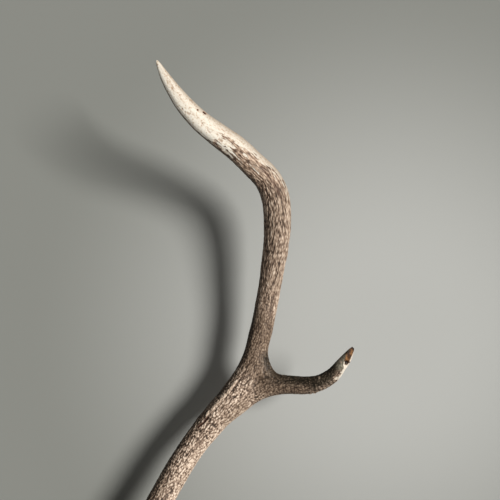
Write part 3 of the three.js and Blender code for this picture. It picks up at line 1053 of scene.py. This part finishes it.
def fill(tree, node, inputs):
    """Sets a node's inputs, each from a socket, a constant, or the name of a value stored in the mesh."""
    for key, value in inputs.items():
        if isinstance(value, str):
            value = add(tree, "ShaderNodeAttribute", attribute_name=value).outputs["Fac"]
        if isinstance(value, bpy.types.NodeSocket):
            tree.links.new(value, node.inputs[key])
        else:
            node.inputs[key].default_value = value


def add(tree, kind, inputs=None, **settings):
    """A shader node with its inputs and settings."""
    made = tree.nodes.new(kind)
    for key, value in settings.items():
        setattr(made, key, value)
    fill(tree, made, inputs or {})
    return made


def rgba(colour):
    """A colour, given as a socket or as three numbers, for an input."""
    return colour if isinstance(colour, bpy.types.NodeSocket) else (*colour, 1)


def blend(tree, share, first, second, **settings):
    """A colour between two."""
    inputs = {"Factor": share, 6: rgba(first), 7: rgba(second)}
    return add(tree, "ShaderNodeMix", inputs, data_type="RGBA", **settings).outputs[2]


def product(tree, first, second):
    """One colour multiplied by another."""
    return blend(tree, 1.0, first, second, blend_type="MULTIPLY")


def between(tree, share, first, second):
    """A value between two."""
    return add(tree, "ShaderNodeMix", {0: share, 2: first, 3: second}, data_type="FLOAT").outputs[0]


def ramp(tree, share, stops):
    """A colour ramp with (place, colour) stops."""
    made = add(tree, "ShaderNodeValToRGB", {"Fac": share})
    elements = made.color_ramp.elements
    while len(elements) < len(stops):
        elements.new(0.5)
    for element, (place, colour) in zip(elements, stops):
        element.position = place
        element.color = (*colour, 1)
    return made.outputs["Color"]


def remap(tree, value, start, end, low=0, high=1, kind="LINEAR"):
    """A value that goes from low to high as another goes from start to end."""
    inputs = {"Value": value, "From Min": start, "From Max": end, "To Min": low, "To Max": high}
    return add(tree, "ShaderNodeMapRange", inputs, interpolation_type=kind).outputs["Result"]


def math_node(tree, operation, *values):
    return add(tree, "ShaderNodeMath", dict(enumerate(values)), operation=operation).outputs["Value"]


def weakened(tree, name, strength):
    """A value stored in the mesh, times a strength."""
    return math_node(tree, "MULTIPLY", name, strength)


def scaled(tree, place, scale):
    return add(tree, "ShaderNodeMapping", {"Vector": place, "Scale": scale}).outputs["Vector"]


def noise_at(tree, place, scale, detail):
    inputs = {"Vector": place, "Scale": scale, "Detail": detail}
    return add(tree, "ShaderNodeTexNoise", inputs).outputs["Fac"]


def noise(tree, scale, detail, stretch=(1, 1, 1)):
    """Noise in the object's own space, with a scale in features a metre."""
    place = add(tree, "ShaderNodeTexCoord").outputs["Object"]
    return noise_at(tree, scaled(tree, place, stretch), scale, detail)


def tilted(tree, height, strength, depth, normal=None):
    """A normal tilted by a height, with its depth in metres, on top of another normal if there is one."""
    inputs = {"Height": height, "Strength": strength, "Distance": depth}
    if normal:
        inputs["Normal"] = normal
    return add(tree, "ShaderNodeBump", inputs).outputs["Normal"]


def shader(name):
    """A new material, its node tree and its surface shader."""
    material = bpy.data.materials.new(name)
    material.use_nodes = True
    tree = material.node_tree
    return material, tree, tree.nodes["Principled BSDF"]


def flecks(tree, place, width, length):
    """Height from 0 to 1 of fine flecks, so wide and so long in millimetres, along a straightened place."""
    at = add(tree, "ShaderNodeAttribute", attribute_name=place).outputs["Vector"]
    at = scaled(tree, at, (1 / width, 1 / width, 1 / length))
    cells = add(tree, "ShaderNodeTexVoronoi", {"Vector": at, "Scale": 1}).outputs["Distance"]
    drift = noise_at(tree, scaled(tree, at, (1, 1, 0.4)), scale=0.9, detail=3)
    return between(tree, 0.5, remap(tree, cells, 0.8, 0.1), remap(tree, drift, 0.28, 0.72))


def antler_relief(tree):
    """Fine relief from 0 to 1: pearls on the lower beam, streaks above, small pearls on the side tine."""
    pearls = flecks(tree, "main_place", width=2.3, length=3.0)
    streaks = flecks(tree, "main_place", width=1.45, length=4.6)
    small = flecks(tree, "side_place", width=1.9, length=2.2)
    main = between(tree, "streaked", pearls, streaks)
    fine = between(tree, "on_side", main, small)
    # The stored height darkens the colour towards the skin's grooves: the bone's own darker furrows, with
    # painted shade on top
    return between(tree, 0.4, fine, "height")


def bone_colour(tree, crest, broad):
    """Brown bone with pale crests, olive on the side tine's top and in the crotch, painted shade in olive on
    the beam's left side and along the ivory's lower edge, painted light on its right side, a grey tip,
    shade, pale marks with one painted glint, and a blush beside the ivory.
    """
    calm = between(tree, weakened(tree, "shade", 0.5), crest, 0.53)
    # Painted light: pearls on the lit right side are calmed and made paler
    calm = between(tree, weakened(tree, "wear_and_painted_light", 0.3), calm, 0.56)
    brown = ramp(tree, math_node(tree, "MULTIPLY_ADD", "wear_and_painted_light", 0.08, calm), BROWN)
    # Olive, partly painted shade on the beam's left side and the ivory's lower edge
    colour = blend(tree, "olive", brown, ramp(tree, crest, OLIVE))
    grey = ramp(tree, noise(tree, scale=260, detail=3), GREY)
    colour = blend(tree, "tip", colour, grey)
    # Pale bone on ridges and marks, and one painted glint
    colour = blend(tree, "light", colour, PALE_BONE)
    colour = product(tree, colour, blend(tree, "shade", ramp(tree, broad, PATCHES), SHADE))
    return blend(tree, weakened(tree, "blush", 0.72), colour, ramp(tree, crest, BLUSH))


def ivory_colour(tree, crest, broad):
    """Polished ivory with fine specks: painted fill makes it whiter on the beam's shaded lower side, painted
    dimming makes it darker along its lit upper edge, and the side tine's ivory is whiter.
    """
    colour = ramp(tree, between(tree, 0.6, broad, crest), IVORY)
    # Painted fill: whiter ivory on the shaded side
    colour = blend(tree, weakened(tree, "whiter_ivory_and_painted_fill", 0.75), colour, WHITER_IVORY_AND_PAINTED_FILL)
    # Painted dimming of the lit edge
    colour = blend(tree, weakened(tree, "rim", 0.75), colour, PAINTED_DIMMING_IVORY)
    return product(tree, colour, ramp(tree, noise(tree, scale=430, detail=2), SPECKS))


def polish_share(tree, crest):
    """How polished the bone is; crests are polished before grooves."""
    ragged = math_node(tree, "MULTIPLY_ADD", crest, 0.6, -0.3)
    wear_and_painted_light = math_node(tree, "ADD", "ivory", ragged)
    return remap(tree, wear_and_painted_light, 0.15, 0.80, kind="SMOOTHSTEP")


def antler_colour(tree, crest, polish):
    """Bone and ivory, with the stains, painted shade in the crack and grooves, the broken face, and painted
    shade in its pit on top.
    """
    broad = noise(tree, scale=60, detail=3)
    colour = blend(tree, polish, bone_colour(tree, crest, broad), ivory_colour(tree, crest, broad))
    colour = blend(tree, "stain", colour, ramp(tree, "stain", STAIN))
    # Painted shade in the crack and grooves
    colour = blend(tree, "groove", colour, PAINTED_GROOVE_SHADE)
    amber = ramp(tree, noise(tree, scale=230, detail=3), AMBER)
    colour = blend(tree, "amber", colour, amber)
    # Painted shade in the pit's hollow
    return blend(tree, "pit", colour, PAINTED_PIT_SHADE)


def antler_material():
    """Brown grooved bone with rubbed pale crests, ivory where it is polished, amber where it is broken, and
    painted light and shade on its sides and in its hollows.
    """
    material, tree, surface = shader("antler")
    crest = antler_relief(tree)
    polish = polish_share(tree, crest)
    rough = math_node(tree, "MULTIPLY", crest, math_node(tree, "SUBTRACT", 1.1, polish))
    coarse = tilted(tree, rough, strength=0.9, depth=0.0009)
    grain = noise(tree, scale=900, detail=4)
    inputs = {
        "Base Color": antler_colour(tree, crest, polish),
        "Roughness": remap(tree, polish, 0, 1, low=0.55, high=0.45),
        "Normal": tilted(tree, grain, strength=0.25, depth=0.0003, normal=coarse),
        "Specular IOR Level": 0.22,
    }
    fill(tree, surface, inputs)
    return material


def wood_material():
    """Dark stained wood with its grain upright."""
    material, tree, surface = shader("stained_wood")
    grain = noise(tree, scale=90, detail=5, stretch=(1, 1, 0.06))
    pores = noise(tree, scale=700, detail=3, stretch=(1, 1, 0.03))
    inputs = {
        "Base Color": product(tree, ramp(tree, grain, WOOD), ramp(tree, pores, PORES)),
        "Roughness": remap(tree, grain, 0, 1, low=0.55, high=0.7),
        "Normal": tilted(tree, pores, strength=0.25, depth=0.0003),
        "Specular IOR Level": 0.15,
    }
    fill(tree, surface, inputs)
    return material


def steel_material():
    """Zinc-plated steel with a dull, slightly cloudy finish."""
    material, tree, surface = shader("zinc_steel")
    clouded = noise(tree, scale=220, detail=3)
    roughness = remap(tree, clouded, 0, 1, low=0.3, high=0.5)
    colour = ramp(tree, clouded, STEEL)
    fill(tree, surface, {"Base Color": colour, "Roughness": roughness, "Metallic": 1})
    return material


def show_mix(tree, share, first, second, output):
    """Sends a mix of two shaders to the output."""
    mixed = add(tree, "ShaderNodeMixShader", {0: share, 1: first.outputs[0], 2: second.outputs[0]})
    tree.links.new(mixed.outputs["Shader"], tree.nodes[output].inputs["Surface"])


def clear_behind(tree, surface):
    """Lets a sheet be seen only from its front."""
    behind = add(tree, "ShaderNodeNewGeometry").outputs["Backfacing"]
    clear = add(tree, "ShaderNodeBsdfTransparent")
    show_mix(tree, behind, surface, clear, "Material Output")


def floor_material():
    """Pale, slightly uneven floor that is clear from below."""
    material, tree, surface = shader("floor")
    colour = ramp(tree, noise(tree, scale=3, detail=2), FLOOR)
    fill(tree, surface, {"Base Color": colour, "Roughness": 0.8})
    clear_behind(tree, surface)
    return material


# Stage: how far the floor lies below the part, its half width, and the wall's plane and sides
FLOOR_DROP = 350
FLOOR_HALF_WIDTH = 6000
WALL_Y = 1
WALL_LEFT = -1200
WALL_RIGHT = 1600
WALL_TOP = 1600

# Pool of light painted into the wall's colour
PAINTED_POOL_MIDDLE = (356, WALL_Y, 338)
PAINTED_POOL_REACH = (76, 471)


def backdrop_material():
    """Grey wall with a painted pool of light, palest in its middle, that is clear from behind."""
    material, tree, surface = shader("backdrop")
    place = add(tree, "ShaderNodeTexCoord").outputs["Object"]
    # Painted pool of light: the wall's colour is paler near a point
    pool = add(tree, "ShaderNodeVectorMath", {0: place, 1: Vector(PAINTED_POOL_MIDDLE) * MM}, operation="DISTANCE")
    near, far = PAINTED_POOL_REACH
    share = remap(tree, pool.outputs["Value"], near * MM, far * MM, kind="SMOOTHSTEP")
    fill(tree, surface, {"Base Color": blend(tree, share, WALL_IN_PAINTED_POOL, WALL_OUTSIDE_PAINTED_POOL), "Roughness": 0.9})
    clear_behind(tree, surface)
    return material


def flat_sheet(name, corners, material):
    """A flat four-sided sheet of the stage."""
    mesh = mesh_from(name, corners, [(0, 1, 2, 3)])
    mesh.materials.append(material)
    made = new_object(name, mesh)
    return made


def build_stage():
    """Pale floor well below the part, and a grey wall behind it that only the camera sees."""
    floor_z = cad_box[0].z / MM - FLOOR_DROP
    wide = FLOOR_HALF_WIDTH
    floor = [(-wide, -wide, floor_z), (wide, -wide, floor_z), (wide, wide, floor_z), (-wide, wide, floor_z)]
    flat_sheet("floor", floor, floor_material())
    sides = [(WALL_LEFT, floor_z), (WALL_RIGHT, floor_z), (WALL_RIGHT, WALL_TOP), (WALL_LEFT, WALL_TOP)]
    wall = [(x, WALL_Y, z) for x, z in sides]
    backdrop = flat_sheet("backdrop", wall, backdrop_material())
    for ray in ("shadow", "diffuse", "glossy", "transmission"):
        setattr(backdrop, f"visible_{ray}", False)


# Lamps: direction from which they shine, width in degrees, strength and colour
KEY = ((0.890, -1.0, 0.246), 18, 5.5, (1.0, 0.98, 0.94))
BEHIND = ((0.05, 1.0, 0.10), 20, 1.6, (1.0, 1.0, 1.0))

# Surround: colour and strength of the light that it gives, and of what the camera sees of it
GLOW = {"Color": (0.85, 0.84, 0.82, 1), "Strength": 0.145}
SKY = {"Color": (0.85, 0.85, 0.83, 1), "Strength": 0.55}


def sun(name, from_direction, angle, strength, colour):
    """A far lamp, so many degrees across, that shines from a direction."""
    data = bpy.data.lights.new(name, "SUN")
    data.angle = math.radians(angle)
    data.energy = strength
    data.color = colour
    lamp = new_object(name, data)
    lamp.rotation_mode = "QUATERNION"
    lamp.rotation_quaternion = Vector(from_direction).to_track_quat("Z", "Y")
    return lamp


def build_light():
    """A soft key from the right, a weak surround, and a lamp behind for the back."""
    sun("key", *KEY)
    sun("behind", *BEHIND).visible_glossy = False
    world = bpy.data.worlds.new("surround")
    world.use_nodes = True
    bpy.context.scene.world = world
    tree = world.node_tree
    glow = add(tree, "ShaderNodeBackground", GLOW)
    sky = add(tree, "ShaderNodeBackground", SKY)
    direct = add(tree, "ShaderNodeLightPath").outputs["Is Camera Ray"]
    show_mix(tree, direct, glow, sky, "World Output")


def build_camera():
    data = bpy.data.cameras.new("camera")
    data.lens = LENS
    data.sensor_width = 36
    data.clip_end = 20
    camera = new_object("camera", data)
    camera.location = Vector(CAMERA_AT) * MM
    camera.rotation_euler = (math.pi / 2, 0, 0)
    bpy.context.scene.camera = camera


def dress_antler():
    for part in antler_pieces(antler_material()):
        node = name_of(part)
        part.name = f"antler_{node}"
        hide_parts(node)
        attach(part, "root")


def dress_nodes(material, *nodes):
    """Gives CAD nodes that stay in view a better material."""
    for node in nodes:
        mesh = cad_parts[node].data
        mesh.materials.clear()
        mesh.materials.append(material)


build_camera()
build_stage()
build_light()
bpy.context.scene.view_settings.view_transform = "Standard"
dress_antler()
build_shield(wood_material())
dress_nodes(steel_material(), "antler_screw", "hanger_plate", "hanger_screw_upper", "hanger_screw_lower")
